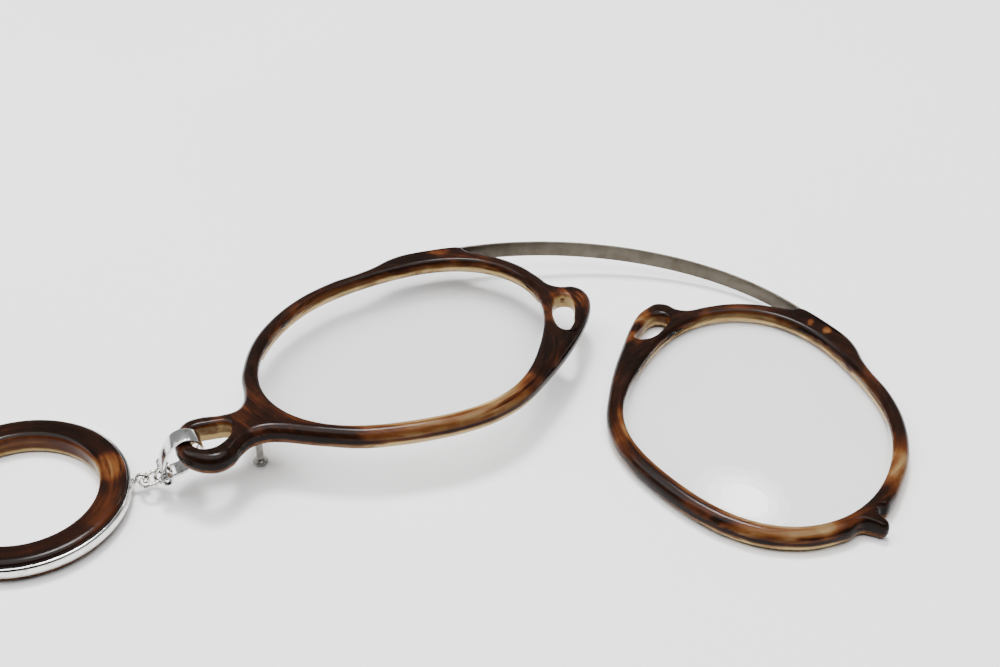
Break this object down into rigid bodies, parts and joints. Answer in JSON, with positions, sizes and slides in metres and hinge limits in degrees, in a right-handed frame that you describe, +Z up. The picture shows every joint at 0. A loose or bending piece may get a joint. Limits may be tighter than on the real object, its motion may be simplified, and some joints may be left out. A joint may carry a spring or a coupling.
{
  "type": "folding reading glasses",
  "caption": "Folding reading glasses with oval tortoiseshell rims on a sprung steel strip, a handle loop that hooks them shut, and a short chain with a ring pendant.",
  "frame": {"origin": "middle of the whole object's bounding box at the level of the table it lies on", "axes": "+X from the left lens to the right lens, +Y towards the spring side, +Z up off the table"},
  "size_m": [0.1362, 0.0884, 0.01],
  "materials": {
    "tortoise": "polished mottled tortoiseshell, near-black to honey",
    "lens": "clear polished",
    "spring_steel": "dull brownish tempered strip",
    "steel": "worn steel",
    "silver": "polished silver"
  },
  "bodies": {
    "left_side": {"left_rim": "tortoise", "left_lens": "lens", "left_rivet_1": "steel", "left_rivet_2": "steel", "catch_pin": "steel", "spring_leaf_1": "spring_steel"},
    "leaf_2": {"spring_leaf_2": "spring_steel"},
    "leaf_3": {"spring_leaf_3": "spring_steel"},
    "leaf_4": {"spring_leaf_4": "spring_steel"},
    "leaf_5": {"spring_leaf_5": "spring_steel"},
    "leaf_6": {"spring_leaf_6": "spring_steel"},
    "leaf_7": {"spring_leaf_7": "spring_steel"},
    "leaf_8": {"spring_leaf_8": "spring_steel"},
    "right_side": {"spring_leaf_9": "spring_steel", "right_rim": "tortoise", "right_lens": "lens", "right_rivet_1": "steel", "right_rivet_2": "steel"},
    "bail": {"bail_strap": "silver", "bail_pin": "silver"},
    "link": {"chain_link": "silver"},
    "ring": {"twisted_ring": "silver"},
    "pendant": {"pendant_eye": "silver", "pendant_band": "silver", "pendant_ring": "tortoise"}
  },
  "joints": [
    {"name": "spring_flex_1", "type": "hinge", "parent": "left_side", "child": "leaf_2", "pos_m": [0.00033, 0.03853, 0.00506], "axis": [0.0159, 0.0365, 0.9992], "range_deg": [-16.24, 3], "stiffness_Nm_per_rad": 0.03},
    {"name": "spring_flex_2", "type": "hinge", "parent": "leaf_2", "child": "leaf_3", "pos_m": [0.00663, 0.0409, 0.00473], "axis": [0.0159, 0.0365, 0.9992], "range_deg": [-14.74, 2.74], "stiffness_Nm_per_rad": 0.03},
    {"name": "spring_flex_3", "type": "hinge", "parent": "leaf_3", "child": "leaf_4", "pos_m": [0.01311, 0.04265, 0.00427], "axis": [0.0159, 0.0365, 0.9992], "range_deg": [-13.23, 2.46], "stiffness_Nm_per_rad": 0.03},
    {"name": "spring_flex_4", "type": "hinge", "parent": "leaf_4", "child": "leaf_5", "pos_m": [0.01974, 0.04373, 0.00373], "axis": [0.0159, 0.0365, 0.9992], "range_deg": [-11.71, 2.18], "stiffness_Nm_per_rad": 0.03},
    {"name": "spring_flex_5", "type": "hinge", "parent": "leaf_5", "child": "leaf_6", "pos_m": [0.02644, 0.04403, 0.00315], "axis": [0.0159, 0.0365, 0.9992], "range_deg": [-10.19, 1.9], "stiffness_Nm_per_rad": 0.03},
    {"name": "spring_flex_6", "type": "hinge", "parent": "leaf_6", "child": "leaf_7", "pos_m": [0.03312, 0.04344, 0.00259], "axis": [0.0159, 0.0365, 0.9992], "range_deg": [-8.68, 1.62], "stiffness_Nm_per_rad": 0.03},
    {"name": "spring_flex_7", "type": "hinge", "parent": "leaf_7", "child": "leaf_8", "pos_m": [0.03963, 0.04181, 0.00211], "axis": [0.0159, 0.0365, 0.9992], "range_deg": [-7.16, 1.34], "stiffness_Nm_per_rad": 0.03},
    {"name": "spring_flex_8", "type": "hinge", "parent": "leaf_8", "child": "right_side", "pos_m": [0.04575, 0.03905, 0.00177], "axis": [0.0159, 0.0365, 0.9992], "range_deg": [-5.64, 1.06], "stiffness_Nm_per_rad": 0.03},
    {"name": "bail_swing", "type": "hinge", "parent": "left_side", "child": "bail", "pos_m": [-0.03086, -0.02051, 0.00745], "axis": [0.5299, -0.848, 0], "range_deg": [-30, 0.5]},
    {"name": "link_swing", "type": "hinge", "parent": "bail", "child": "link", "pos_m": [-0.03357, -0.0222, 0.00414], "axis": [0.5299, -0.848, 0], "range_deg": [-20, 0.5]},
    {"name": "ring_swing", "type": "hinge", "parent": "link", "child": "ring", "pos_m": [-0.03408, -0.02236, 0.00294], "axis": [-0.0624, -0.9981, 0], "range_deg": [-12, 0.5]},
    {"name": "pendant_swing", "type": "hinge", "parent": "ring", "child": "pendant", "pos_m": [-0.03713, -0.02217, 0.002], "axis": [-0.0624, -0.9981, 0], "range_deg": [-12, 0.5]}
  ]
}
